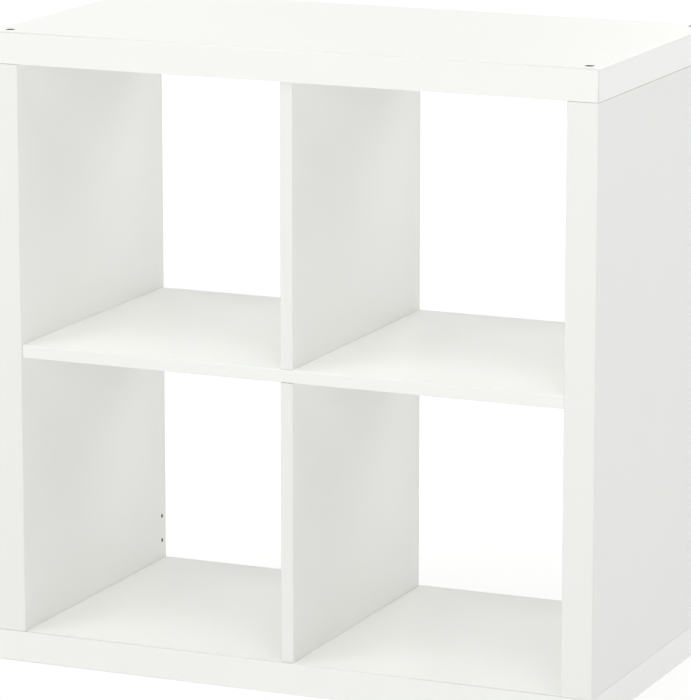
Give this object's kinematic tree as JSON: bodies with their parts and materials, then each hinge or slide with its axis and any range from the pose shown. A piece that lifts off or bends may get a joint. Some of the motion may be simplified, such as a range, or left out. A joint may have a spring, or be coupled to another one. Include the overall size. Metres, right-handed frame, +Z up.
{
  "type": "cube storage unit",
  "caption": "Free-standing open storage unit of square compartments, with thick board-on-frame outer panels and thinner inner shelf and dividers set slightly back.",
  "frame": {"origin": "middle of the footprint, on the floor", "axes": "+Z up, +X to the right across the width, -Y towards the front"},
  "size_m": [0.765, 0.39, 0.765],
  "materials": {
    "white_lacquer": "satin white lacquer on fibreboard",
    "white_edging": "satin white edge band",
    "white_foil": "satin white foil on particleboard",
    "particleboard": "raw particleboard",
    "paper": "brown recycled paper",
    "screw_steel": "dark zinc-plated steel",
    "beech": "raw beech"
  },
  "bodies": {
    "root": {"bottom_panel_back_band": "white_edging", "bottom_panel_frame": "particleboard", "bottom_panel_front_band": "white_edging", "bottom_panel_honeycomb": "paper", "bottom_panel_inner_skin": "white_lacquer", "bottom_panel_left_band": "white_edging", "bottom_panel_outer_skin": "white_lacquer", "bottom_panel_right_band": "white_edging", "dowel_corner_bottom_left": "beech", "dowel_corner_bottom_right": "beech", "dowel_corner_top_left": "beech", "dowel_corner_top_right": "beech", "dowel_divider_bottom_back": "beech", "dowel_divider_bottom_front": "beech", "dowel_divider_through_back": "beech", "dowel_divider_through_front": "beech", "dowel_divider_top_back": "beech", "dowel_divider_top_front": "beech", "dowel_shelf_left_back": "beech", "dowel_shelf_left_front": "beech", "dowel_shelf_right_back": "beech", "dowel_shelf_right_front": "beech", "left_side_back_band": "white_edging", "left_side_frame": "particleboard", "left_side_front_band": "white_edging", "left_side_honeycomb": "paper", "left_side_inner_skin": "white_lacquer", "left_side_outer_skin": "white_lacquer", "lower_divider_back_band": "white_edging", "lower_divider_board": "white_foil", "lower_divider_front_band": "white_edging", "middle_shelf_back_band": "white_edging", "middle_shelf_board": "white_foil", "middle_shelf_front_band": "white_edging", "right_side_back_band": "white_edging", "right_side_frame": "particleboard", "right_side_front_band": "white_edging", "right_side_honeycomb": "paper", "right_side_inner_skin": "white_lacquer", "right_side_outer_skin": "white_lacquer", "screw_bottom_left_back": "screw_steel", "screw_bottom_left_front": "screw_steel", "screw_bottom_right_back": "screw_steel", "screw_bottom_right_front": "screw_steel", "screw_top_left_back": "screw_steel", "screw_top_left_front": "screw_steel", "screw_top_right_back": "screw_steel", "screw_top_right_front": "screw_steel", "top_panel_back_band": "white_edging", "top_panel_frame": "particleboard", "top_panel_front_band": "white_edging", "top_panel_honeycomb": "paper", "top_panel_inner_skin": "white_lacquer", "top_panel_left_band": "white_edging", "top_panel_outer_skin": "white_lacquer", "top_panel_right_band": "white_edging", "upper_divider_back_band": "white_edging", "upper_divider_board": "white_foil", "upper_divider_front_band": "white_edging"}
  },
  "joints": []
}
